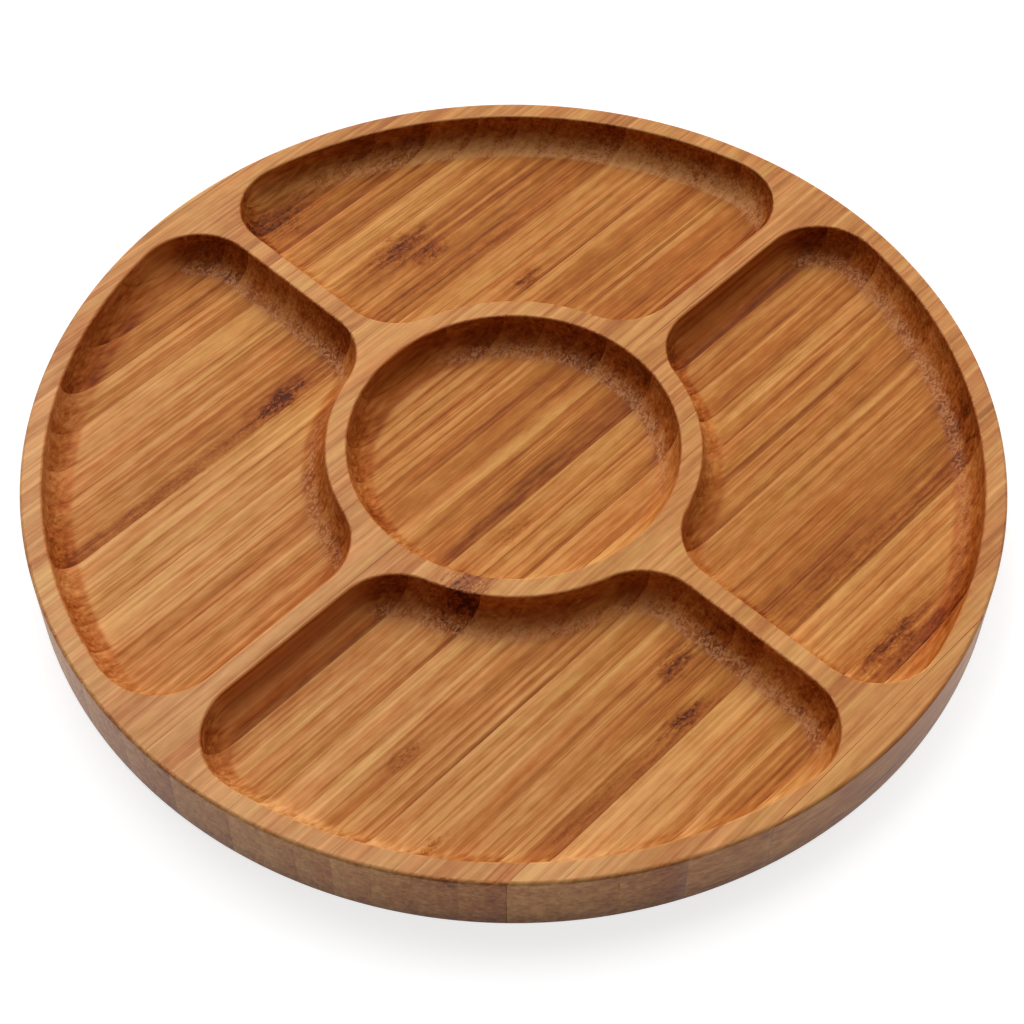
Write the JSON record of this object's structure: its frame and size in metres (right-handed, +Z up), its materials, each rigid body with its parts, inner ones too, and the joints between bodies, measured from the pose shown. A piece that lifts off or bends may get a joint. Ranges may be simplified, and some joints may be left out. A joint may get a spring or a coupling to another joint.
{
  "type": "sectioned serving platter",
  "caption": "Round bamboo serving platter, a thick disc of edge-glued staves routed with a round centre bowl and a ring of separate pockets.",
  "frame": {"origin": "middle of the flat underside", "axes": "+Z up through the mouth of the bowl; +X, +Y, -X and -Y run through the middles of the pockets, and the staves run along the diagonal between +X and +Y"},
  "size_m": [0.3, 0.3, 0.024],
  "materials": {
    "bamboo_pale": "satin, oiled",
    "bamboo_honey": "satin, oiled",
    "bamboo_amber": "satin, oiled",
    "bamboo_russet": "satin, oiled",
    "bamboo_umber": "satin, oiled"
  },
  "bodies": {
    "root": {"stave_01": "bamboo_honey", "stave_02": "bamboo_amber", "stave_03": "bamboo_umber", "stave_04": "bamboo_honey", "stave_05": "bamboo_pale", "stave_06": "bamboo_russet", "stave_07": "bamboo_amber", "stave_08": "bamboo_amber", "stave_09": "bamboo_honey", "stave_10": "bamboo_amber", "stave_11": "bamboo_honey", "stave_12": "bamboo_honey", "stave_13": "bamboo_amber", "stave_14": "bamboo_honey", "stave_15": "bamboo_umber", "stave_16": "bamboo_amber", "stave_17": "bamboo_russet", "stave_18": "bamboo_honey", "stave_19": "bamboo_amber", "stave_20": "bamboo_honey", "stave_21": "bamboo_honey", "stave_22": "bamboo_pale", "stave_23": "bamboo_russet", "stave_24": "bamboo_amber", "stave_25": "bamboo_honey", "stave_26": "bamboo_pale", "stave_27": "bamboo_amber", "stave_28": "bamboo_russet", "stave_29": "bamboo_umber", "stave_30": "bamboo_amber", "stave_31": "bamboo_honey"}
  },
  "joints": []
}
